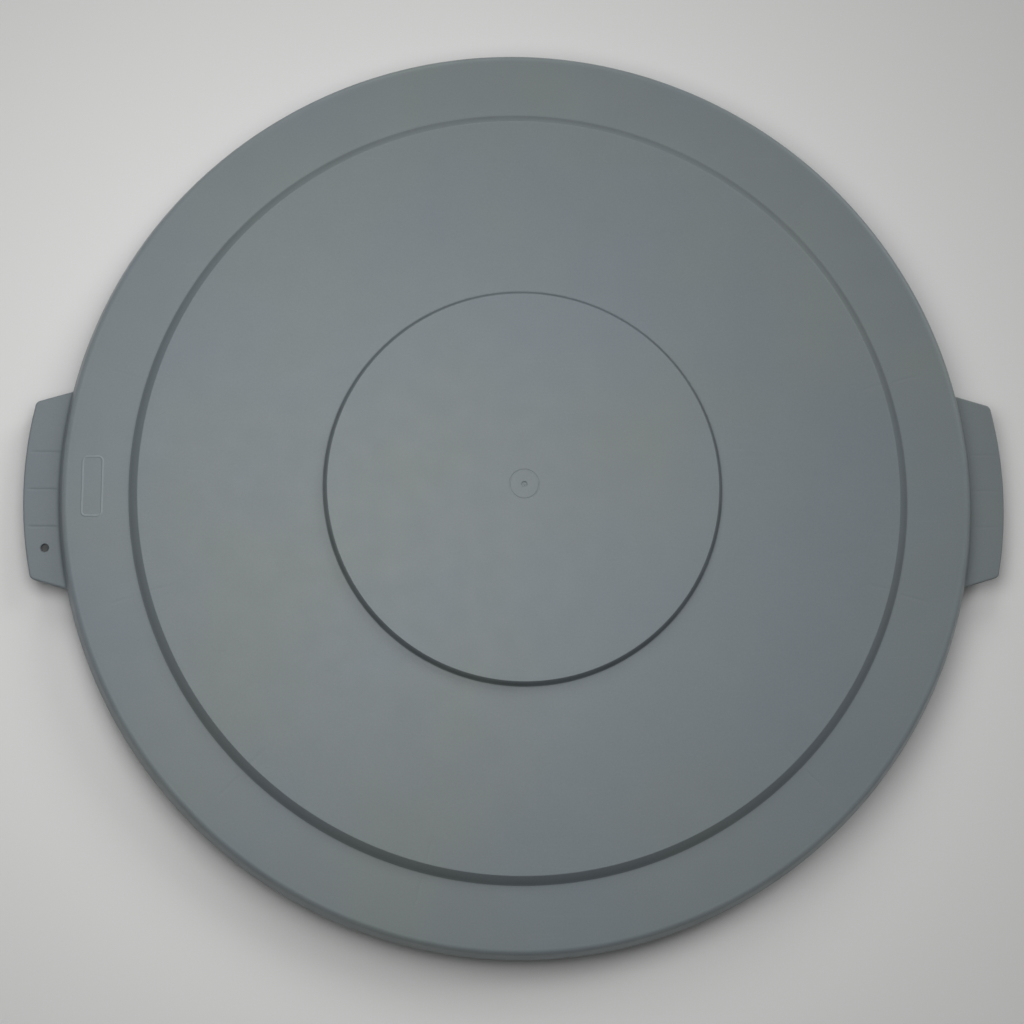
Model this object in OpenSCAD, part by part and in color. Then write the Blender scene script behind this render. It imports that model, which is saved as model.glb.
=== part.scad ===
// Snap-fit lid of a round utility container, one plastic moulding.
// Millimetres, +Z up. The origin is on the lid's axis, level with the skirt's lower edge.
// The two grip tabs lie along X. Each feature of the moulding is a solid of its own, and
// neighbouring features meet face to face.

/* [Overall] */
// Outside diameter over the skirt
lid_d = 565; // [560:1:575]
// Wall thickness everywhere except the ribs and beads
wall = 2.6; // [2:0.1:3]

/* [Heights] */
// Upright part of the skirt, below the sloping shoulder
skirt_h = 18; // [16:0.5:24]
// Rise of the shoulder from the skirt to the rim band
shoulder_rise = 12; // [10:0.5:15]
// Rise of the step from the rim band to the plateau
plateau_rise = 5.8; // [4:0.1:8]
// Rise of the step from the plateau to the centre disc
disc_rise = 5.2; // [4:0.1:7]

/* [Widths] */
// How far the shoulder leans in over its rise
shoulder_run = 4.6; // [3:0.1:6]
// Width of the flat rim band
rim_band_w = 39.4; // [38:0.1:42]
// Horizontal run of the plateau's step
plateau_run = 6.1; // [4:0.1:7]
// Diameter of the centre disc at the foot of its step
disc_d = 243.4; // [220:0.1:250]
// Horizontal run of the disc's step
disc_run = 2.8; // [2:0.1:4]
// Outer radius of the bend between the rim band and the shoulder
shoulder_bend = 8; // [4:0.5:8]

/* [Underside] */
// Outside diameter of the ring that enters the container's mouth
locating_ring_d = 520.8; // [518:0.1:524]
// Thickness of the locating ring
ring_wall = 2.4; // [2:0.1:3]
// Depth of the locating ring below the rim band
ring_h = 14.4; // [12:0.1:16]
// Number of snap beads round the inside of the skirt
bead_count = 8; // [6:1:12]
// Angle that each snap bead covers
bead_angle = 22; // [10:1:28]
// How far a snap bead stands in from the skirt
bead_proud = 2.3; // [1.5:0.1:3]
// Gussets on each side of the line through the tabs
gussets_per_side = 6; // [4:1:8]
// Angle from a tab's centre line to the nearest gusset
gusset_first = 16; // [14:1:20]
// Thickness of a gusset or a tab rib
rib_t = 1.8; // [1.5:0.1:2.5]

/* [Grip tabs] */
// How far a tab reaches out from the skirt
tab_reach = 21.5; // [18:0.5:26]
// Width of a tab where it meets the skirt
tab_root_w = 122; // [110:1:130]
// Width of a tab across its outer corners
tab_tip_w = 109; // [95:1:115]
// Depth of the wall turned down round a tab's edge, below the plate
tab_wall_h = 7.4; // [5:0.1:10]
// Spacing of the three ribs under a tab
tab_rib_pitch = 23; // [18:0.5:26]
// Diameter of the tether hole in the left tab
tether_d = 5; // [4:0.5:8]

/* [Hidden] */
$fn = 180;

lid_r = lid_d / 2;
// Levels of the upper surface
lip_z = skirt_h;
rim_z = lip_z + shoulder_rise;
plateau_z = rim_z + plateau_rise;
disc_z = plateau_z + disc_rise;

// Radii where the straight runs of the section meet
rim_r = lid_r - shoulder_run;
plateau_foot_r = rim_r - rim_band_w;
plateau_top_r = plateau_foot_r - plateau_run;
disc_foot_r = disc_d / 2;
disc_top_r = disc_foot_r - disc_run;

// A step includes a strip of the flat on each side of it, this wide
land = 3;
// The shoulder includes a strip of the rim band, this wide
shoulder_land = 6;

locating_ring_r = locating_ring_d / 2;
ring_inner_r = locating_ring_r - ring_wall;
ring_chamfer = 1.2;
// The rim seat begins just outside the locating ring
seat_r = locating_ring_r + 0.6;

// A snap bead's foot and height on the skirt
bead_z = 2;
bead_h = 5;

// The gussets die out under the plateau at this radius
gusset_end_r = plateau_top_r - 14;
gusset_h = 12;

// The raised outline on the rim band: its centre line, line width, corner and height
mark_r = 260.3;
mark_w = 11.8;
mark_l = 36;
mark_line = 1.6;
mark_corner = 2.6;
mark_h = 0.5;

// Each tab is a body of its own, so its root stands this far off the skirt
root_gap = 0.3;
tab_root_r = lid_r + root_gap;
tab_tip_x = lid_r + tab_reach;
// Radius of a tab's outer edge
tab_edge_r = 255;
tab_plate_t = wall;
tab_edge_wall = 2.4;
tab_rib_clear = 1.2;
// The tether hole, from the lid's axis and from the tab's centre line
tether_x = 289.9;
tether_y = 36;

// The gate mark where the plastic was injected
gate_r = 1.8;
gate_depth = 0.5;

plastic = [0.49, 0.52, 0.53];
edge_grey = [0.44, 0.47, 0.48];
under_grey = [0.40, 0.43, 0.44];

// Horizontal shift of the inside of a sloping wall, for a slope of run over rise
function inner_shift(run, rise) =
    let (m = run / rise) wall * (sqrt(1 + m * m) - m);

function arc_points(centre, r, from, to, steps = 8) =
    [for (i = [0:steps]) let (a = from + (to - from) * i / steps)
        [centre[0] + r * cos(a), centre[1] + r * sin(a)]];

// Section of a step that rises inwards, with its flat strips
module step_section(foot_r, foot_z, top_r, top_z) {
    shift = inner_shift(foot_r - top_r, top_z - foot_z);
    polygon([
        [top_r - land, top_z], [top_r, top_z], [foot_r, foot_z], [foot_r + land, foot_z],
        [foot_r + land, foot_z - wall], [foot_r - shift, foot_z - wall],
        [top_r - shift, top_z - wall], [top_r - land, top_z - wall]
    ]);
}

module flat_ring(outer_r, inner_r, top_z) {
    rotate_extrude()
        translate([inner_r, top_z - wall]) square([outer_r - inner_r, wall]);
}

module centre_disc() {
    color(plastic)
        difference() {
            translate([0, 0, disc_z - wall]) cylinder(h = wall, r = disc_top_r - land);
            translate([0, 0, disc_z - gate_depth]) cylinder(h = wall, r = gate_r);
        }
}

module disc_step() {
    color(edge_grey)
        rotate_extrude() step_section(disc_foot_r, plateau_z, disc_top_r, disc_z);
}

module plateau() {
    color(plastic) flat_ring(plateau_top_r - land, disc_foot_r + land, plateau_z);
}

module plateau_step() {
    color(edge_grey)
        rotate_extrude() step_section(plateau_foot_r, rim_z, plateau_top_r, plateau_z);
}

module rim_band() {
    color(plastic) flat_ring(seat_r, plateau_foot_r + land, rim_z);
}

// The outer part of the flat band, whose underside lies on the container's rim
module rim_seat() {
    color(plastic) flat_ring(rim_r - shoulder_land, seat_r, rim_z);
}

// The shoulder bends down from the rim band and leans out to the skirt
module shoulder() {
    slope = atan2(shoulder_rise, shoulder_run);
    lean = shoulder_run / shoulder_rise;
    inner_r = lid_r - wall - (shoulder_rise - wall) * lean;
    inner_bend = shoulder_bend - wall;
    outside = arc_points([rim_r - shoulder_bend * tan(slope / 2), rim_z - shoulder_bend],
        shoulder_bend, 90, 90 - slope);
    inside = arc_points([inner_r - inner_bend * tan(slope / 2), rim_z - wall - inner_bend],
        inner_bend, 90 - slope, 90);
    color(edge_grey)
        rotate_extrude()
            polygon(concat(
                [[rim_r - shoulder_land, rim_z]], outside,
                [[lid_r, lip_z], [lid_r - wall, lip_z]], inside,
                [[rim_r - shoulder_land, rim_z - wall]]
            ));
}

module skirt() {
    color(edge_grey)
        rotate_extrude() translate([lid_r - wall, 0]) square([wall, skirt_h]);
}

// The ring that centres the lid in the container's mouth
module locating_ring() {
    top = rim_z - wall;
    foot = top - ring_h;
    color(under_grey)
        rotate_extrude()
            polygon([
                [ring_inner_r, top], [ring_inner_r, foot],
                [locating_ring_r - ring_chamfer, foot], [locating_ring_r, foot + 2 * ring_chamfer],
                [locating_ring_r, top]
            ]);
}

// Beads that catch under the container's rolled rim
module snap_beads() {
    skirt_inner_r = lid_r - wall;
    color(under_grey)
        for (i = [0:bead_count - 1])
            rotate([0, 0, (i + 0.5) * 360 / bead_count - bead_angle / 2])
                rotate_extrude(angle = bead_angle)
                    polygon([
                        [skirt_inner_r, bead_z], [skirt_inner_r, bead_z + bead_h],
                        [skirt_inner_r - bead_proud, bead_z + bead_h * 0.7],
                        [skirt_inner_r - bead_proud, bead_z + bead_h * 0.45]
                    ]);
}

// One radial gusset from the locating ring to the plateau, under the step
module gusset() {
    shift = inner_shift(plateau_run, plateau_rise);
    top = rim_z - wall;
    rotate([90, 0, 0])
        linear_extrude(height = rib_t, center = true)
            polygon([
                [ring_inner_r, top], [ring_inner_r, top - gusset_h],
                [gusset_end_r, plateau_z - wall], [plateau_top_r - shift, plateau_z - wall],
                [plateau_foot_r - shift, top]
            ]);
}

module rim_gussets() {
    pitch = (180 - 2 * gusset_first) / (gussets_per_side - 1);
    color(under_grey)
        for (side = [0, 180], i = [0:gussets_per_side - 1])
            rotate([0, 0, side + gusset_first + i * pitch]) gusset();
}

// A rectangle with round corners, as a 2-D outline
module round_rect(w, l, r) {
    square([w - 2 * r, l], center = true);
    square([w, l - 2 * r], center = true);
    for (x = [-1, 1], y = [-1, 1])
        translate([x * (w / 2 - r), y * (l / 2 - r)]) circle(r = r, $fn = 48);
}

module mark_frame() {
    color(plastic)
        translate([-mark_r, 0, rim_z])
            linear_extrude(height = mark_h)
                difference() {
                    round_rect(mark_w + mark_line, mark_l + mark_line, mark_corner + mark_line / 2);
                    round_rect(mark_w - mark_line, mark_l - mark_line, mark_corner - mark_line / 2);
                }
}

// Outline of the right tab, drawn in by inset on its three free sides
module tab_outline(inset = 0) {
    root_x = lid_r - 8;
    tip_x = tab_tip_x + 1;
    corner_x = tab_tip_x - tab_edge_r + sqrt(pow(tab_edge_r, 2) - pow(tab_tip_w / 2, 2));
    meet_x = sqrt(pow(tab_root_r, 2) - pow(tab_root_w / 2, 2));
    taper = (tab_root_w - tab_tip_w) / 2 / (corner_x - meet_x);
    draw_in = inset * sqrt(1 + taper * taper);
    root_y = tab_root_w / 2 + (meet_x - root_x) * taper - draw_in;
    tip_y = tab_root_w / 2 - (tip_x - meet_x) * taper - draw_in;
    difference() {
        intersection() {
            polygon([[root_x, -root_y], [tip_x, -tip_y], [tip_x, tip_y], [root_x, root_y]]);
            translate([tab_tip_x - tab_edge_r, 0]) circle(r = tab_edge_r - inset);
        }
        circle(r = tab_root_r);
    }
}

module tab_plate() {
    color(plastic)
        translate([0, 0, lip_z - tab_plate_t])
            linear_extrude(height = tab_plate_t) tab_outline();
}

// The wall turned down round the tab's free edge, under the plate
module tab_wall() {
    color(edge_grey)
        translate([0, 0, lip_z - tab_plate_t - tab_wall_h])
            linear_extrude(height = tab_wall_h)
                difference() {
                    tab_outline();
                    tab_outline(tab_edge_wall);
                }
}

module tab_ribs() {
    rib_h = tab_wall_h - tab_rib_clear;
    color(under_grey)
        translate([0, 0, lip_z - tab_plate_t - rib_h])
            linear_extrude(height = rib_h)
                intersection() {
                    tab_outline(tab_edge_wall);
                    for (i = [-1:1])
                        translate([lid_r - 8, i * tab_rib_pitch - rib_t / 2])
                            square([tab_reach + 8, rib_t]);
                }
}

module left_tab() {
    difference() {
        rotate([0, 0, 180]) tab_plate();
        color(plastic)
            translate([-tether_x, -tether_y, lip_z - 2 * tab_plate_t])
                cylinder(h = 3 * tab_plate_t, d = tether_d);
    }
}

module left_tab_wall() { rotate([0, 0, 180]) tab_wall(); }
module left_tab_ribs() { rotate([0, 0, 180]) tab_ribs(); }
module right_tab() { tab_plate(); }
module right_tab_wall() { tab_wall(); }
module right_tab_ribs() { tab_ribs(); }

centre_disc();
disc_step();
plateau();
plateau_step();
rim_band();
rim_seat();
shoulder();
skirt();
locating_ring();
snap_beads();
rim_gussets();
mark_frame();
left_tab();
left_tab_wall();
left_tab_ribs();
right_tab();
right_tab_wall();
right_tab_ribs();
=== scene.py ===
"""A round snap-fit container lid: the looks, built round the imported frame. Metres, +Z up."""

import math

import bmesh
import bpy
import numpy as np
from mathutils import Matrix, Vector


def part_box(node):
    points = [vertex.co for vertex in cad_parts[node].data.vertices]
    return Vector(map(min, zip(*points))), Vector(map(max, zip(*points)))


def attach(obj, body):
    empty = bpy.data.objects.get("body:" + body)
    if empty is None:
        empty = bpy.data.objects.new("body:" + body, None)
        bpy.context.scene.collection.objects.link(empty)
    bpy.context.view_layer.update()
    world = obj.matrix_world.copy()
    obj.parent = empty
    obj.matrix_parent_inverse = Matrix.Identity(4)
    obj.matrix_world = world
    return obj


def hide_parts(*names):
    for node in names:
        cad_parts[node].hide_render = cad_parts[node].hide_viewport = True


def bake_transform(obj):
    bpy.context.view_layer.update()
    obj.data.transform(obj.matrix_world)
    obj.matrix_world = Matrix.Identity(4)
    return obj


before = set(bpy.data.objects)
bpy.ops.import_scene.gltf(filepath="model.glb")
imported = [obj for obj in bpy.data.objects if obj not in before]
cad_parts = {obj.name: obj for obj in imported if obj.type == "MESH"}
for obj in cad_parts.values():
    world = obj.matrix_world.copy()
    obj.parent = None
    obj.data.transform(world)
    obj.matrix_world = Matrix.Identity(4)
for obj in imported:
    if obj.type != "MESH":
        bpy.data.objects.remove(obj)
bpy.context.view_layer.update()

MM = 0.001

# ---------------------------------------------------------------- sizes, from the frame

# How much of the flat a step's piece holds, on each side of the step
LAND = 3 * MM
# How much of the rim and of the skirt the shoulder's piece holds
SHOULDER_LAND = 6 * MM
SKIRT_LAND = 4 * MM


def high(node, axis):
    """The far end of a CAD node's box along one axis."""
    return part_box(node)[1][axis]


def low(node, axis):
    """The near end of a CAD node's box along one axis."""
    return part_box(node)[0][axis]


X, Y, Z = 0, 1, 2
lid_r = high("skirt", X)
lip_z = high("skirt", Z)
skirt_top_z = lip_z - SKIRT_LAND
rim_z = high("rim_band", Z)
plateau_z = high("plateau", Z)
disc_z = high("centre_disc", Z)
wall = rim_z - low("rim_band", Z)

seat_r = high("rim_band", X)
rim_r = high("rim_seat", X) + SHOULDER_LAND
plateau_foot_r = high("plateau_step", X) - LAND
plateau_top_r = high("plateau", X) + LAND
disc_foot_r = high("disc_step", X) - LAND
disc_top_r = high("centre_disc", X) + LAND

ring_r = high("locating_ring", X)
ring_foot_z = low("locating_ring", Z)
RING_WALL = 2.4 * MM

# How far a part that is moulded on reaches into the part that carries it
OVERLAP = 0.2 * MM

# Degrees from the middle of a tab to the first gusset beside it
GUSSET_FIRST = 16
GUSSETS_PER_SIDE = 6
gusset_foot_z = low("rim_gussets", Z)
gusset_end_r = plateau_top_r - 14 * MM

# Gussets and tab ribs
RIB_T = 1.8 * MM
RIB_SOFT_EDGE = 0.35 * MM

tab_tip_x = high("right_tab", X)
tab_root_y = high("right_tab", Y)
TAB_TIP_Y = 54.5 * MM
TAB_EDGE_R = 255 * MM
TAB_CORNER_R = 4 * MM
tab_under_z = low("right_tab", Z)
tab_foot_z = low("right_tab_wall", Z)
tab_rib_foot_z = low("right_tab_ribs", Z)
TAB_WALL = 2.4 * MM
TAB_RIB_PITCH = 23 * MM
# Where the hole is in a right tab. It is turned round to the left one.
TETHER = (289.9 * MM, 36 * MM)
TETHER_R = 2.5 * MM


# ---------------------------------------------------------------- mesh helpers

def make_object(name, verts, faces, sharp=32):
    """A smooth-shaded object whose edges over `sharp` degrees stay crisp."""
    mesh = bpy.data.meshes.new(name)
    mesh.from_pydata([tuple(v) for v in verts], [], faces)
    obj = bpy.data.objects.new(name, mesh)
    bpy.context.scene.collection.objects.link(obj)
    finish_mesh(obj, sharp)
    return obj


def finish_mesh(obj, sharp=32):
    """Merges doubles, turns the faces outwards and marks the crisp edges."""
    bm = bmesh.new()
    bm.from_mesh(obj.data)
    bmesh.ops.remove_doubles(bm, verts=bm.verts, dist=1e-7)
    bmesh.ops.recalc_face_normals(bm, faces=bm.faces)
    limit = math.radians(sharp)
    for face in bm.faces:
        face.smooth = True
    for edge in bm.edges:
        edge.smooth = len(edge.link_faces) == 2 and edge.calc_face_angle() < limit
    bm.to_mesh(obj.data)
    bm.free()
    obj.data.update()


def rounded(points, radii, closed=True, steps=6):
    """The polyline with each corner replaced by an arc of its radius."""
    out = []
    count = len(points)
    for i, (p, r) in enumerate(zip(points, radii)):
        p = Vector(p)
        if r <= 0 or (not closed and i in (0, count - 1)):
            out.append(tuple(p))
            continue
        back = p - Vector(points[i - 1])
        ahead = Vector(points[(i + 1) % count]) - p
        d1, d2 = back.normalized(), ahead.normalized()
        turn = d1.angle(d2)
        reach = min(r * math.tan(turn / 2), back.length * 0.49, ahead.length * 0.49)
        r = reach / math.tan(turn / 2)
        centre = p + (d2 - d1).normalized() * (r / math.cos(turn / 2))
        start = p - d1 * reach - centre
        sign = 1 if d1.x * d2.y - d1.y * d2.x > 0 else -1
        for k in range(steps + 1):
            a = sign * turn * k / steps
            c, s = math.cos(a), math.sin(a)
            out.append((centre.x + start.x * c - start.y * s, centre.y + start.x * s + start.y * c))
    return out


def lathe(name, section, angles, relief=None, sharp=32):
    """Turns a closed section of (radius, height) about Z. relief lifts a point of the upper side."""
    verts = []
    top = max(z for _, z in section)
    for a in angles:
        for r, z in section:
            lift = relief(r, a) if relief and z > top - wall / 2 else 0
            verts.append((r * math.cos(a), r * math.sin(a), z + lift))
    n, m = len(section), len(angles)
    faces = []
    for i in range(m):
        for k in range(n):
            k2 = (k + 1) % n
            if section[k][0] < 1e-9 and section[k2][0] < 1e-9:
                continue
            faces.append((i * n + k, ((i + 1) % m) * n + k, ((i + 1) % m) * n + k2, i * n + k2))
    return make_object(name, verts, faces, sharp)


def gusset_angles():
    """The gussets go round both sides, between the tabs."""
    pitch = (180 - 2 * GUSSET_FIRST) / (GUSSETS_PER_SIDE - 1)
    return [math.radians(side + GUSSET_FIRST + i * pitch)
            for side in (0, 180) for i in range(GUSSETS_PER_SIDE)]


def lathe_angles():
    """One column a degree, with more of them over the gussets for the sink marks."""
    fine = [g + math.radians(s * d) for g in gusset_angles()
            for s in (-1, 1) for d in (0.0, 0.1, 0.2, 0.3, 0.42, 0.6)]
    coarse = [math.radians(d) for d in range(360)]
    near = math.radians(0.12)
    kept = [a for a in coarse if min(abs(a - f) for f in fine) > near]
    return sorted(set(round(a, 9) for a in kept + fine))


ANGLES = lathe_angles()
GUSSET_ANGLES = gusset_angles()


def ramp(x, a, b):
    """Rises smoothly from 0 at a to 1 at b."""
    t = min(max((x - a) / (b - a), 0), 1)
    return t * t * (3 - 2 * t)


# ---------------------------------------------------------------- the shell

SINK_DEPTH = 0.1 * MM
SINK_HALF_W = 1.5 * MM

# Fillets on the outer face: gate mark, disc's edge and foot, plateau's edge and foot, top of the
# shoulder, and lip, where the shoulder meets the skirt
GATE_FILLET = 0.4 * MM
DISC_FILLETS = [0.5 * MM, 0.5 * MM]
PLATEAU_FILLETS = [0.8 * MM, 0.7 * MM]
SHOULDER_BEND = 8 * MM
LIP_BEND = 2.5 * MM
# On the inner face: disc's edge and foot, plateau's edge and foot, and lip
INNER_FILLETS = [1.5 * MM, 1 * MM, 2 * MM, 1 * MM]
INNER_LIP_BEND = 2 * MM
# The skirt's foot, outside and inside
FOOT_FILLETS = [1.1 * MM, 0.9 * MM]


def sink(r, a):
    """The mark that a gusset leaves above it. It fades at the gusset's end and at the ring."""
    d = min(abs(math.remainder(a - g, 2 * math.pi)) for g in GUSSET_ANGLES) * r
    if d > SINK_HALF_W:
        return 0.0
    across = (1 + math.cos(math.pi * d / SINK_HALF_W)) / 2
    along = ramp(r, gusset_end_r - 4 * MM, gusset_end_r + 8 * MM)
    along *= 1 - ramp(r, ring_r - 4 * MM, ring_r)
    return -SINK_DEPTH * across * along


def inner_shift(run, rise):
    """How far in the inner face's corner lies from the outer one, at a step of even wall."""
    m = run / rise
    return wall * (math.sqrt(1 + m * m) - m)


def between(path, a, b):
    """The points of a path, which runs outwards, from radius a to radius b, with those ends."""
    def at(r):
        for (r0, z0), (r1, z1) in zip(path, path[1:]):
            if r0 <= r <= r1 and r1 > r0:
                return (r, z0 + (z1 - z0) * (r - r0) / (r1 - r0))
        return (r, path[-1][1])
    inside = [p for p in path if a + 1e-7 < p[0] < b - 1e-7]
    return [at(a)] + inside + [at(b)]


def spaced(path, pitch):
    """The path with points added, so that none of its runs is longer than pitch."""
    out = [path[0]]
    for p, q in zip(path, path[1:]):
        n = max(1, math.ceil(math.dist(p, q) / pitch))
        out += [(p[0] + (q[0] - p[0]) * k / n, p[1] + (q[1] - p[1]) * k / n)
                for k in range(1, n + 1)]
    return out


# The gate mark, as radius and height in mm: a pit with the broken gate in it, and a fine groove
GATE = [(0, -0.3), (0.45, -0.34), (0.8, -0.62), (1.35, -0.5), (1.9, 0)]
GROOVE = [(8.3, 0), (8.75, -0.22), (9.05, -0.22), (9.5, 0)]

disc_shift = inner_shift(disc_foot_r - disc_top_r, disc_z - plateau_z)
plateau_shift = inner_shift(plateau_foot_r - plateau_top_r, plateau_z - rim_z)

gate_path = [(r * MM, disc_z + z * MM) for r, z in GATE + GROOVE]
outer_path = rounded(
    gate_path + [
        (disc_top_r, disc_z), (disc_foot_r, plateau_z),
        (plateau_top_r, plateau_z), (plateau_foot_r, rim_z), (rim_r - SHOULDER_LAND, rim_z)],
    [0] + [GATE_FILLET] * (len(gate_path) - 1) + DISC_FILLETS + PLATEAU_FILLETS + [0],
    closed=False)
inner_path = rounded(
    [(0, disc_z - wall), (disc_top_r - disc_shift, disc_z - wall),
     (disc_foot_r - disc_shift, plateau_z - wall),
     (plateau_top_r - plateau_shift, plateau_z - wall),
     (plateau_foot_r - plateau_shift, rim_z - wall), (rim_r - SHOULDER_LAND, rim_z - wall)],
    [0] + INNER_FILLETS + [0],
    closed=False)


def shell_piece(node, a, b, pitch):
    """The shell from radius a to radius b, with columns of points no further apart than pitch."""
    top = spaced(between(outer_path, a, b), pitch)
    under = between(inner_path, a, b)
    piece = lathe(node + "_shell", top + under[::-1], ANGLES, relief=sink)
    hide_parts(node)
    return piece


def shoulder_piece():
    """The shoulder, with the bend at the lip and the top of the skirt."""
    lean = (lid_r - rim_r) / (rim_z - lip_z)
    inner_r = lid_r - wall - (rim_z - wall - lip_z) * lean
    outside = rounded(
        [(rim_r - SHOULDER_LAND, rim_z), (rim_r, rim_z), (lid_r, lip_z), (lid_r, skirt_top_z)],
        [0, SHOULDER_BEND, LIP_BEND, 0], closed=False, steps=10)
    inside = rounded(
        [(lid_r - wall, skirt_top_z), (lid_r - wall, lip_z), (inner_r, rim_z - wall),
         (rim_r - SHOULDER_LAND, rim_z - wall)],
        [0, INNER_LIP_BEND, SHOULDER_BEND - wall, 0], closed=False)
    piece = lathe("shoulder_shell", outside + inside, ANGLES)
    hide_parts("shoulder")
    return piece


def skirt_piece():
    """The upright wall, with a soft foot."""
    section = rounded(
        [(lid_r - wall, skirt_top_z), (lid_r, skirt_top_z), (lid_r, 0), (lid_r - wall, 0)],
        [0, 0] + FOOT_FILLETS)
    piece = lathe("skirt_shell", section, ANGLES)
    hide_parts("skirt")
    return piece


# ---------------------------------------------------------------- under the rim

def locating_ring_piece():
    """The ring that hangs from the rim, with a lead-in at its foot."""
    top = rim_z - wall + OVERLAP
    inner_r = ring_r - RING_WALL
    lead_in, lead_up = 1.2 * MM, 2.4 * MM
    section = rounded(
        [(inner_r, top), (inner_r, ring_foot_z), (ring_r - lead_in, ring_foot_z),
         (ring_r, ring_foot_z + lead_up), (ring_r, top)],
        [0, 0.7 * MM, 0.6 * MM, 1.5 * MM, 0])
    piece = lathe("locating_ring_wall", section, ANGLES)
    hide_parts("locating_ring")
    return piece


BEAD_COUNT = 8
BEAD_ANGLE = math.radians(22)
BEAD_PROUD = 2.3 * MM
# The share of a bead's length over which each of its ends fades away
BEAD_END = 0.1


def snap_beads_piece():
    """Beads that swell out of the skirt's inside and fade away at their ends."""
    foot_z, top_z = low("snap_beads", Z), high("snap_beads", Z)
    sunk = 0.15 * MM
    inner_r = lid_r - wall + sunk
    back_r = inner_r + 0.8 * MM
    columns, rows = 36, 12
    verts, faces = [], []
    for b in range(BEAD_COUNT):
        middle = (b + 0.5) * 2 * math.pi / BEAD_COUNT
        start = len(verts)
        for i in range(columns + 1):
            u = i / columns
            a = middle + (u - 0.5) * BEAD_ANGLE
            fade = 0
            if 0 < u < 1:
                fade = math.sin(math.pi * min(u, 1 - u, BEAD_END) / (2 * BEAD_END)) ** 0.6
            for k in range(rows + 1):
                v = k / rows
                swell = math.sin(math.pi * v ** 0.85) ** 0.8 if 0 < v < 1 else 0
                r = inner_r - (BEAD_PROUD + sunk) * swell * fade
                verts.append((r * math.cos(a), r * math.sin(a), foot_z + (top_z - foot_z) * v))
        back = len(verts)
        for i in range(columns + 1):
            a = middle + (i / columns - 0.5) * BEAD_ANGLE
            for z in (foot_z, top_z):
                verts.append((back_r * math.cos(a), back_r * math.sin(a), z))
        n = rows + 1
        for i in range(columns):
            for k in range(rows):
                q = start + i * n + k
                faces.append((q, q + 1, q + n + 1, q + n))
            q, w = start + i * n, back + i * 2
            faces.append((w, w + 2, w + 3, w + 1))
            faces.append((q, q + n, w + 2, w))
            faces.append((q + rows, w + 1, w + 3, q + n + rows))
        for i in (0, columns):
            q, w = start + i * n, back + i * 2
            faces.append(tuple([w] + [q + k for k in range(n)] + [w + 1]))
    piece = make_object("snap_bead_set", verts, faces, 50)
    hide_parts("snap_beads")
    return piece


def slab(outline, transform):
    """A thin rib: an outline in its own plane, with soft edges."""
    soft = RIB_SOFT_EDGE / RIB_T
    layers = [(-0.5, RIB_SOFT_EDGE), (-0.5 + soft, 0.0), (0.5 - soft, 0.0),
              (0.5, RIB_SOFT_EDGE)]
    centre = Vector((sum(p[0] for p in outline), sum(p[1] for p in outline))) / len(outline)
    verts, faces = [], []
    n = len(outline)
    for share, inset in layers:
        for p in outline:
            away = Vector(p) - centre
            shrunk = centre + away * (1 - inset / away.length)
            verts.append(transform @ Vector((shrunk.x, share * RIB_T, shrunk.y)))
    for j in range(len(layers) - 1):
        for k in range(n):
            k2 = (k + 1) % n
            faces.append((j * n + k, j * n + k2, (j + 1) * n + k2, (j + 1) * n + k))
    faces.append(tuple(range(n)))
    faces.append(tuple(range((len(layers) - 1) * n, len(layers) * n))[::-1])
    return verts, faces


def joined(name, parts):
    """One object from several sets of vertices and faces."""
    verts, faces = [], []
    for part_verts, part_faces in parts:
        start = len(verts)
        verts += part_verts
        faces += [tuple(i + start for i in f) for f in part_faces]
    return make_object(name, verts, faces)


def gussets_piece():
    """The ribs under the rim and the plateau's step, which grow shallow towards the middle."""
    sunk = 0.25 * MM
    end_depth = 0.6 * MM
    foot_w = 1.5 * MM
    top = rim_z - wall + sunk
    plateau_under = plateau_z - wall + sunk
    inner_r = ring_r - RING_WALL + OVERLAP
    outline = [
        (inner_r, top), (inner_r, gusset_foot_z), (inner_r - foot_w, gusset_foot_z),
        (gusset_end_r, plateau_under - end_depth), (gusset_end_r, plateau_under),
        (plateau_top_r - plateau_shift, plateau_under),
        (plateau_foot_r - plateau_shift + 0.4 * MM, top)
    ]
    parts = [slab(outline, Matrix.Rotation(a, 4, "Z")) for a in GUSSET_ANGLES]
    piece = joined("gusset_set", parts)
    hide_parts("rim_gussets")
    return piece


# ---------------------------------------------------------------- the raised outline mark

def mark_piece():
    """A soft raised line round an empty rectangle."""
    box_low, box_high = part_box("mark_frame")
    line = 1.6 * MM
    half_x = (box_high.x - box_low.x - line) / 2
    half_y = (box_high.y - box_low.y - line) / 2
    centre = Vector(((box_low.x + box_high.x) / 2, (box_low.y + box_high.y) / 2))
    corner = 2.6 * MM
    rise_share = 0.6
    path = rounded([(-half_x, -half_y), (half_x, -half_y), (half_x, half_y), (-half_x, half_y)],
                   [corner] * 4, steps=10)
    height = rise_share * (box_high.z - rim_z)
    arc = [(line * (k / 12 - 0.5), height * (0.5 - 0.5 * math.cos(math.pi * k / 6)))
           for k in range(13)]
    profile = arc + [(line / 2, -OVERLAP), (-line / 2, -OVERLAP)]
    verts, faces = [], []
    n, m = len(profile), len(path)
    for i, p in enumerate(path):
        along = (Vector(path[(i + 1) % m]) - Vector(path[i - 1])).normalized()
        side = Vector((along.y, -along.x))
        for across, up in profile:
            q = centre + Vector(p) + side * across
            verts.append((q.x, q.y, rim_z + up))
    for i in range(m):
        for k in range(n):
            k2, i2 = (k + 1) % n, (i + 1) % m
            faces.append((i * n + k, i * n + k2, i2 * n + k2, i2 * n + k))
    piece = make_object("mark_outline", verts, faces, 50)
    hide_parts("mark_frame")
    return piece


# ---------------------------------------------------------------- the grip tabs

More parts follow.
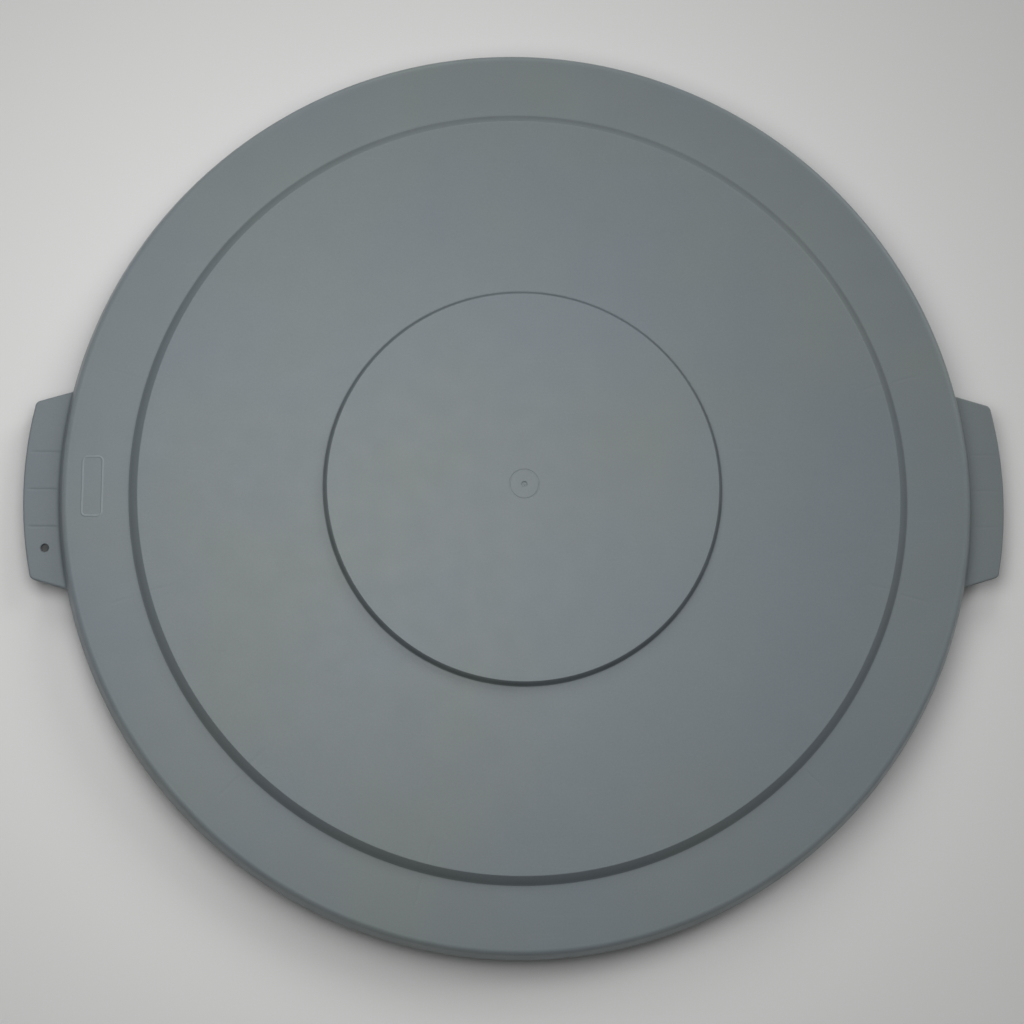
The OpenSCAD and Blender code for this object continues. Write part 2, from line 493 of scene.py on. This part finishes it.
def tab_curves():
    """The right tab's free edge, from root to root, and the index of its two corner middles."""
    centre_x = tab_tip_x - TAB_EDGE_R
    corner_x = centre_x + math.sqrt(TAB_EDGE_R ** 2 - TAB_TIP_Y ** 2)
    root_x = math.sqrt(lid_r ** 2 - tab_root_y ** 2)
    # The tip's arc stops short of the corners, which leaves room for their rounding.
    arc_share = 0.82
    tip = [(centre_x + TAB_EDGE_R * math.cos(a), TAB_EDGE_R * math.sin(a))
           for a in np.linspace(-arc_share, arc_share, 37) * math.asin(TAB_TIP_Y / TAB_EDGE_R)]
    points = [(root_x, -tab_root_y), (corner_x, -TAB_TIP_Y)] + tip \
        + [(corner_x, TAB_TIP_Y), (root_x, tab_root_y)]
    radii = [0, TAB_CORNER_R] + [0] * len(tip) + [TAB_CORNER_R, 0]
    steps = 12
    edge = rounded(points, radii, closed=False, steps=steps)
    first = 1 + steps // 2
    return edge, first, len(edge) - 1 - first


def resample(path, stations):
    """Points of a polyline at the given lengths along it."""
    path = np.array(path, float)
    lengths = np.concatenate([[0], np.cumsum(np.linalg.norm(np.diff(path, axis=0), axis=1))])
    return np.stack([np.interp(stations, lengths, path[:, k]) for k in (0, 1)], axis=1)


def path_length(path):
    """The length of a polyline."""
    return sum(math.dist(p, q) for p, q in zip(path, path[1:]))


def distance_to(path, points):
    """Each point's distance from a polyline."""
    a, b = np.array(path[:-1], float), np.array(path[1:], float)
    run = b - a
    away = points[:, None, :] - a[None]
    t = np.clip((away * run).sum(2) / (run * run).sum(1), 0, 1)
    return np.linalg.norm(away - t[..., None] * run, axis=2).min(1)


# A fillet joins each tab to the shoulder. It starts this far inside the lid's edge, and the
# plate starts a little further in.
ROOT_FILLET = 2 * MM
FILLET_IN = 0.7 * MM
ROOT_IN = 1.2 * MM
EDGE_ROUND = 1.1 * MM
TAB_SINK = {"left": 0.34 * MM, "right": 0.08 * MM}
TAB_SINK_W = 0.7 * MM
# The mesh is finest at both ends of the tip, at these lengths from each end, and near the free
# edge, at these shares of the way in from it.
TIP_END = [0, 0.12 * MM, 0.3 * MM, 0.5 * MM, 0.75 * MM, MM]
FREE_EDGE = [0.1, 0.075, 0.055, 0.04, 0.027, 0.015, 0.006, 0]
TIP_STEP = 0.35 * MM
# A tab's wall and ribs have points at least this often.
WALL_STEP = 0.8 * MM
RIB_STEP = 1.5 * MM


def crowded(length, near):
    """Stations from 0 to length, crowded at both ends, where the shape turns."""
    inner = np.linspace(near[-1], length - near[-1], int(length / TIP_STEP))
    return np.concatenate([near[:-1], inner, length - np.array(near[:-1])[::-1]])


def arc_fall(radius, run):
    """How far a quarter arc has fallen, at a distance in from where it ends."""
    return radius - np.sqrt(radius ** 2 - np.clip(radius - run, 0, radius) ** 2)


def tab_grid(edge, first, last):
    """Points all over the tab, in rows from the lid out to the free edge."""
    stations = crowded(path_length(edge[first:last + 1]), TIP_END)
    tips = resample(edge[first:last + 1], stations)
    shares = stations / stations[-1]
    angles = (2 * shares - 1) * math.asin(tab_root_y / lid_r)
    roots = (lid_r - ROOT_IN) * np.stack([np.cos(angles), np.sin(angles)], axis=1)
    rows = np.concatenate([np.linspace(0, 0.1, 8)[:-1], np.linspace(0.1, 0.9, 14)[:-1],
                           1 - np.array(FREE_EDGE)])
    grid = roots[None] + rows[:, None, None] * (tips - roots)[None]
    sides = ((edge[:first + 1], 0, (1 - shares) ** 4), (edge[:last - 1:-1], -1, shares ** 4))
    for run, column, weight in sides:
        run = [tuple(roots[column])] + list(run)
        bent = resample(run, rows * path_length(run))
        grid += weight[None, :, None] * (bent - grid[:, column])[:, None]
    return grid


def tab_top_z(flat, edge, sink_depth):
    """The top's height: rounded at the free edge, filleted at the root, with sink marks."""
    inset = distance_to(edge, flat)
    off = np.hypot(flat[:, 0], flat[:, 1]) - lid_r + FILLET_IN
    sinks = sum(np.exp(-((flat[:, 1] - i * TAB_RIB_PITCH) / TAB_SINK_W) ** 2)
                for i in (-1, 0, 1))
    edge_fade, root_fade = 1.5 * MM, 3 * MM
    fade = np.clip((inset - TAB_WALL) / edge_fade, 0, 1) * np.clip(off / root_fade, 0, 1)
    return (lip_z - arc_fall(EDGE_ROUND, inset) + arc_fall(ROOT_FILLET, off)
            - sink_depth * sinks * fade)


def tab_plate_piece(name, node, turn, sink_depth, hole):
    """The tab's plate: a shaped top over a flat underside."""
    edge, first, last = tab_curves()
    grid = tab_grid(edge, first, last)
    n, m = grid.shape[:2]
    flat = grid.reshape(-1, 2)
    verts = [(p[0], p[1], z) for p, z in zip(flat, tab_top_z(flat, edge, sink_depth))]
    verts += [(p[0], p[1], tab_under_z) for p in flat]
    faces = []
    for i in range(n - 1):
        for k in range(m - 1):
            q = i * m + k
            faces.append((q, q + m, q + m + 1, q + 1))
            q += n * m
            faces.append((q, q + 1, q + m + 1, q + m))
    border = list(range(m)) + [i * m + m - 1 for i in range(1, n)] \
        + [(n - 1) * m + k for k in range(m - 2, -1, -1)] + [i * m for i in range(n - 2, 0, -1)]
    for q, w in zip(border, border[1:] + border[:1]):
        faces.append((q, w, w + n * m, q + n * m))
    piece = make_object(name, verts, faces, 40)
    if hole:
        drill(piece)
    place_tab(piece, turn)
    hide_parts(node)
    return piece


def drill(piece):
    """The tether hole, with a small chamfer where it comes out on top."""
    chamfer = 0.35 * MM
    levels = [(TETHER_R, -6 * MM), (TETHER_R, -chamfer), (TETHER_R + chamfer, 0),
              (TETHER_R + chamfer + MM, MM)]
    sides = 48
    verts = [(TETHER[0] + r * math.cos(2 * math.pi * i / sides),
              TETHER[1] + r * math.sin(2 * math.pi * i / sides), lip_z + z)
             for r, z in levels for i in range(sides)]
    faces = [(j * sides + i, j * sides + (i + 1) % sides,
              (j + 1) * sides + (i + 1) % sides, (j + 1) * sides + i)
             for j in range(len(levels) - 1) for i in range(sides)]
    faces.append(tuple(range(sides))[::-1])
    faces.append(tuple(range((len(levels) - 1) * sides, len(levels) * sides)))
    cutter = make_object("tether_cutter", verts, faces)
    cut = piece.modifiers.new("tether", "BOOLEAN")
    cut.object = cutter
    cut.solver = "EXACT"
    apply_modifiers(piece)
    bpy.data.objects.remove(cutter)
    finish_mesh(piece, 40)


def apply_modifiers(obj):
    """Makes the modifiers' result the object's own mesh."""
    graph = bpy.context.evaluated_depsgraph_get()
    mesh = bpy.data.meshes.new_from_object(obj.evaluated_get(graph))
    obj.modifiers.clear()
    obj.data = mesh


def tab_wall_piece(name, node, turn):
    """The wall turned down round the tab's edge, with a soft foot."""
    edge, _, _ = tab_curves()
    top = tab_under_z + 0.1 * MM
    section = rounded([(0, top), (0, tab_foot_z), (TAB_WALL, tab_foot_z), (TAB_WALL, top)],
                      [0, 0.8 * MM, 0.6 * MM, 0])
    path = np.array(spaced(edge, WALL_STEP))
    along = np.gradient(path, axis=0)
    along /= np.linalg.norm(along, axis=1)[:, None]
    inward = np.stack([-along[:, 1], along[:, 0]], axis=1)
    n, m = len(section), len(path)
    verts, faces = [], []
    for p, side in zip(path, inward):
        for d, z in section:
            q = p + side * d
            verts.append((q[0], q[1], z))
    for i in range(m - 1):
        for k in range(n):
            k2 = (k + 1) % n
            faces.append((i * n + k, i * n + k2, (i + 1) * n + k2, (i + 1) * n + k))
    faces.append(tuple(range(n)))
    faces.append(tuple(range((m - 1) * n, m * n))[::-1])
    piece = make_object(name, verts, faces, 40)
    place_tab(piece, turn)
    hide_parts(node)
    return piece


def tab_ribs_piece(name, node, turn):
    """Three straight ribs from the skirt to the tab's wall."""
    parts = []
    sunk = 0.3 * MM
    centre_x = tab_tip_x - TAB_EDGE_R
    for i in (-1, 0, 1):
        y = i * TAB_RIB_PITCH
        start_x = math.sqrt(lid_r ** 2 - y * y) - sunk
        end_x = centre_x + math.sqrt(TAB_EDGE_R ** 2 - y * y) - TAB_WALL + OVERLAP
        outline = [(start_x, tab_under_z + OVERLAP), (start_x, tab_rib_foot_z),
                   (end_x, tab_rib_foot_z), (end_x, tab_under_z + OVERLAP)]
        outline = spaced(outline + outline[:1], RIB_STEP)[:-1]
        parts.append(slab(outline, Matrix.Translation((0, y, 0))))
    piece = joined(name, parts)
    place_tab(piece, turn)
    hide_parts(node)
    return piece


def place_tab(piece, turn):
    """Turns a right tab's piece to its own side."""
    piece.data.transform(Matrix.Rotation(turn, 4, "Z"))
    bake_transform(piece)


# ---------------------------------------------------------------- materials

def new_material(name):
    """A material with an empty node tree."""
    material = bpy.data.materials.new(name)
    material.use_nodes = True
    tree = material.node_tree
    tree.nodes.clear()
    return material, tree


class Nodes:
    """Short calls for building a node tree."""

    def __init__(self, tree):
        self.tree = tree

    def add(self, kind, inputs=None, **settings):
        """Makes a node. Each input is a value, or the socket that feeds it."""
        node = self.tree.nodes.new(kind)
        for key, value in settings.items():
            setattr(node, key, value)
        for key, value in (inputs or {}).items():
            if isinstance(value, bpy.types.NodeSocket):
                self.tree.links.new(value, node.inputs[key])
            else:
                node.inputs[key].default_value = value
        return node

    def noise(self, vector, scale, detail=3.0, rough=0.5):
        """Noise, mostly between 0.3 and 0.7."""
        node = self.add("ShaderNodeTexNoise", {"Vector": vector, "Scale": scale,
                                               "Detail": detail, "Roughness": rough})
        return node.outputs["Fac"]

    def stretched(self, vector, scale, turn=0.0, shift=(0, 0, 0)):
        """A place scaled, turned about Z and moved."""
        node = self.add("ShaderNodeMapping", {"Vector": vector, "Scale": scale,
                                              "Rotation": (0, 0, turn), "Location": shift})
        return node.outputs["Vector"]

    def remap(self, value, a, b, lo, hi):
        """Takes the range a to b to the range lo to hi, and stops there."""
        node = self.add("ShaderNodeMapRange", {"Value": value, "From Min": a, "From Max": b,
                                               "To Min": lo, "To Max": hi})
        return node.outputs["Result"]

    def maths(self, operation, a, b):
        """One operation on two values or sockets."""
        node = self.add("ShaderNodeMath", operation=operation)
        for socket, value in zip(node.inputs, (a, b)):
            if isinstance(value, bpy.types.NodeSocket):
                self.tree.links.new(value, socket)
            else:
                socket.default_value = value
        return node.outputs[0]


# For each set of scratches: its direction, its scale along the scratches, and its offset
SCRATCHES = ((0.4, 23.0, 3.1), (1.7, 31.0, 7.7), (2.6, 19.0, 12.9))
SCRATCH_FINENESS = 620.0


def scuff_marks(n, place):
    """Fine straight scratches in patches, in several directions."""
    scuffs = None
    for turn, stretch, shift in SCRATCHES:
        scale = (stretch, SCRATCH_FINENESS, SCRATCH_FINENESS)
        run = n.stretched(place, scale, turn, (shift, shift, shift))
        streak = n.remap(n.noise(run, 1.0, 2.0), 0.66, 0.74, 0.0, 1.0)
        patch = n.remap(n.noise(place, 9.0 + stretch / 5, 2.0), 0.5, 0.68, 0.0, 1.0)
        mark = n.maths("MULTIPLY", streak, patch)
        scuffs = mark if scuffs is None else n.maths("MAXIMUM", scuffs, mark)
    return scuffs


def rings(n, place, edges):
    """Patchy rings round the axis, each with a radius, a half width and a strength: masks of painted
    light and painted shade.
    """
    flat = n.stretched(place, (1, 1, 0))
    radius = n.add("ShaderNodeVectorMath", {0: flat}, operation="LENGTH").outputs["Value"]
    painted_light = None
    for edge, half_width, strength in edges:
        away = n.maths("ABSOLUTE", n.maths("SUBTRACT", radius, edge), 0.0)
        ring = n.remap(away, 0.0, half_width, strength, 0.0)
        painted_light = ring if painted_light is None else n.maths("MAXIMUM", painted_light, ring)
    return n.maths("MULTIPLY", painted_light, n.remap(n.noise(place, 55.0, 4.0), 0.4, 0.6, 0.7, 1.0))


# How far red, green and blue swing, from warm patches to cool ones
HUE_SWING = (-0.022, -0.014, 0.03)


def moulded_plastic(name, colour, roughness, grain=0.25, highlight_rings=(), shadow_rings=()):
    """Grey polyethylene: fine grain, cloudy tone, scratches, painted highlight on edges and the
    shoulder, and painted shade at the steps' feet.
    """
    material, tree = new_material(name)
    n = Nodes(tree)
    place = n.add("ShaderNodeTexCoord").outputs["Object"]

    # Tone, as a factor near 1, and roughness
    cloud = n.remap(n.noise(place, 5.5, 2.0), 0.3, 0.7, 0.985, 1.015)
    mottle = n.remap(n.noise(place, 42.0, 4.0, 0.6), 0.3, 0.7, 0.985, 1.015)
    speck = n.remap(n.noise(place, 900.0, 2.0), 0.3, 0.7, 0.97, 1.03)
    tone = n.maths("MULTIPLY", n.maths("MULTIPLY", cloud, mottle), speck)
    scuffs = scuff_marks(n, place)
    tone = n.maths("MULTIPLY", tone, n.maths("ADD", n.maths("MULTIPLY", scuffs, 0.045), 1.0))
    rough = n.remap(n.noise(place, 70.0, 3.0), 0.3, 0.7, roughness - 0.03, roughness + 0.03)
    rough = n.maths("ADD", rough, n.maths("MULTIPLY", scuffs, 0.08))
    # Lighter rings: painted highlight on the step edges and painted bounce light on the shoulder;
    # they are made smoother there as well.
    if highlight_rings:
        painted_light = rings(n, place, highlight_rings)
        tone = n.maths("MULTIPLY", tone, n.maths("ADD", painted_light, 1.0))
        rough = n.maths("SUBTRACT", rough, n.maths("MULTIPLY", painted_light, 0.3))
    # Darker rings at the steps' feet: painted shade, with a rougher surface there as well.
    if shadow_rings:
        painted_shade = rings(n, place, shadow_rings)
        tone = n.maths("MULTIPLY", tone, n.maths("SUBTRACT", 1.0, painted_shade))
        rough = n.maths("ADD", rough, n.maths("MULTIPLY", painted_shade, 0.3))

    # The colour drifts a little between warm and cool.
    hue = n.noise(place, 8.0, 3.0, 0.5)
    base = n.add("ShaderNodeCombineColor")
    for channel, value, swing in zip(("Red", "Green", "Blue"), colour, HUE_SWING):
        tint = n.remap(hue, 0.35, 0.65, value * (1 - swing), value * (1 + swing))
        tree.links.new(n.maths("MULTIPLY", tone, tint), base.inputs[channel])

    # Moulded grain, with the scratches cut into it
    fine = n.noise(place, 2200.0, 3.0, 0.6)
    height = n.maths("ADD", fine, n.maths("MULTIPLY", scuffs, -0.4))
    bump = n.add("ShaderNodeBump", {"Height": height, "Strength": grain,
                                    "Distance": 0.05 * MM})
    shader = n.add("ShaderNodeBsdfPrincipled", {
        "Base Color": base.outputs["Color"], "Roughness": rough, "Normal": bump.outputs["Normal"],
        "IOR": 1.5, "Specular IOR Level": 0.5})
    out = n.add("ShaderNodeOutputMaterial")
    tree.links.new(shader.outputs["BSDF"], out.inputs["Surface"])
    return material


# Red, green and blue
PLASTIC = (0.2015, 0.2335, 0.2445)


def shade(share):
    """The plastic's colour, lighter or darker: lit and shaded copies of one plastic, which paint
    light and shade.
    """
    return [c * share for c in PLASTIC]


# Rings of painted highlight on the step edges and painted bounce light on the shoulder, and of
# painted shade at the steps' feet: radius, half width and strength
HIGHLIT_EDGES = ((disc_top_r, 1.2 * MM, 0.06), (plateau_top_r, 1.2 * MM, 0.06),
         ((rim_r + lid_r) / 2, 6.5 * MM, 0.28))
SHADED_CORNERS = (((disc_top_r + disc_foot_r) / 2 + 0.4 * MM, 1.9 * MM, 0.42),
           (plateau_foot_r - 1.6 * MM, 2.8 * MM, 0.16))
top_plastic = moulded_plastic("moulded_top_plastic", PLASTIC, 0.5, highlight_rings=HIGHLIT_EDGES, shadow_rings=SHADED_CORNERS)
# The raised line gets a lighter copy of the plastic: painted highlight.
lit_mark_plastic = moulded_plastic("raised_mark_plastic", shade(1.17), 0.45)
# The tabs and the parts underneath get darker copies of the plastic: painted shade.
shaded_tab_plastic = moulded_plastic("moulded_tab_plastic", shade(0.97), 0.5)
shaded_under_plastic = moulded_plastic("moulded_under_plastic", shade(0.94), 0.55, 0.4)


def dress(obj, material):
    """Gives a piece its material."""
    obj.data.materials.clear()
    obj.data.materials.append(material)


# ---------------------------------------------------------------- building the lid

shell = [
    shell_piece("centre_disc", 0, disc_top_r - LAND, 8 * MM),
    shell_piece("disc_step", disc_top_r - LAND, disc_foot_r + LAND, 4 * MM),
    shell_piece("plateau", disc_foot_r + LAND, plateau_top_r - LAND, 4 * MM),
    shell_piece("plateau_step", plateau_top_r - LAND, plateau_foot_r + LAND, 2 * MM),
    shell_piece("rim_band", plateau_foot_r + LAND, seat_r, 3 * MM),
    shell_piece("rim_seat", seat_r, rim_r - SHOULDER_LAND, 3 * MM),
    shoulder_piece(),
    skirt_piece(),
]
for piece in shell:
    dress(piece, top_plastic)
    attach(piece, "lid")
mark = mark_piece()
dress(mark, lit_mark_plastic)
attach(mark, "lid")

for piece in (locating_ring_piece(), snap_beads_piece(), gussets_piece()):
    dress(piece, shaded_under_plastic)
    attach(piece, "lid")

for side, turn in (("left", math.pi), ("right", 0.0)):
    plate = tab_plate_piece(side + "_tab_plate", side + "_tab", turn, TAB_SINK[side],
                            side == "left")
    edge_wall = tab_wall_piece(side + "_tab_edge", side + "_tab_wall", turn)
    ribs = tab_ribs_piece(side + "_tab_rib_set", side + "_tab_ribs", turn)
    dress(plate, shaded_tab_plastic)
    dress(edge_wall, shaded_tab_plastic)
    dress(ribs, shaded_under_plastic)


# ---------------------------------------------------------------- floor, light and camera

def plain_floor():
    """One pale sheet that reaches the horizon."""
    half = 30.0
    corners = [(-half, -half, 0), (half, -half, 0), (half, half, 0), (-half, half, 0)]
    floor = make_object("floor", corners, [(0, 1, 2, 3)])
    material, tree = new_material("pale_floor")
    n = Nodes(tree)
    shader = n.add("ShaderNodeBsdfPrincipled", {"Base Color": (0.85, 0.85, 0.84, 1),
                                                "Roughness": 0.8})
    out = n.add("ShaderNodeOutputMaterial")
    tree.links.new(shader.outputs["BSDF"], out.inputs["Surface"])
    floor.data.materials.append(material)


def add_light(data, at, target):
    """Puts a light at one point, turned towards another."""
    light = bpy.data.objects.new(data.name, data)
    light.location = at
    light.rotation_euler = (Vector(target) - Vector(at)).to_track_quat("-Z", "Y").to_euler()
    light.visible_camera = False
    bpy.context.scene.collection.objects.link(light)


def soft_box(name, at, target, size, power):
    """A round soft box near the lid, so that its light falls off towards the edge."""
    data = bpy.data.lights.new(name, "AREA")
    data.shape = "DISK"
    data.size = size
    data.energy = power
    add_light(data, at, target)


# How wide a far light looks
FAR_LIGHT_ANGLE = math.radians(24)


def far_light(name, azimuth, elevation, strength):
    """A broad light from far away, the same all over the floor."""
    data = bpy.data.lights.new(name, "SUN")
    data.angle = FAR_LIGHT_ANGLE
    data.energy = strength
    a, e = math.radians(azimuth), math.radians(elevation)
    at = (2 * math.cos(e) * math.cos(a), 2 * math.cos(e) * math.sin(a), 2 * math.sin(e))
    add_light(data, at, (0, 0, 0))


def studio():
    """Two soft boxes overhead, two broad lights from behind and the right, and some fill."""
    world = bpy.data.worlds.new("studio")
    world.use_nodes = True
    world.node_tree.nodes["Background"].inputs["Color"].default_value = (1, 1, 1, 1)
    world.node_tree.nodes["Background"].inputs["Strength"].default_value = 0.09
    bpy.context.scene.world = world
    far_light("right", 40, 31, 0.66)
    far_light("back", 100, 31, 0.49)
    soft_box("over_left", (-0.17, 0.06, 0.62), (-0.09, 0.03, 0), 0.55, 1.78)
    soft_box("over_right", (0.04, 0.03, 0.62), (0.02, 0.02, 0), 0.55, 0.69)


CAMERA_TILT = math.radians(9.22)
CAMERA_AZIMUTH = math.radians(248.52)
CAMERA_ROLL = math.radians(-0.43)
CAMERA_DISTANCE = 1.007
LOOK_AT = (-6.3 * MM, -13.65 * MM, lip_z)
LENS = 57.34


def camera():
    """Looks nearly straight down, a little from the front left."""
    tilt, azimuth, roll = CAMERA_TILT, CAMERA_AZIMUTH, CAMERA_ROLL
    back = Vector((math.sin(tilt) * math.cos(azimuth), math.sin(tilt) * math.sin(azimuth),
                   math.cos(tilt)))
    up = Vector((-math.sin(roll), math.cos(roll), 0))
    right = up.cross(back).normalized()
    up = back.cross(right)
    data = bpy.data.cameras.new("camera")
    data.sensor_width = 36
    data.lens = LENS
    cam = bpy.data.objects.new("camera", data)
    cam.matrix_world = Matrix.Translation(Vector(LOOK_AT) + back * CAMERA_DISTANCE) @ Matrix(
        (right, up, back)).transposed().to_4x4()
    bpy.context.scene.collection.objects.link(cam)
    bpy.context.scene.camera = cam


plain_floor()
studio()
camera()
bpy.context.scene.view_settings.view_transform = "Standard"
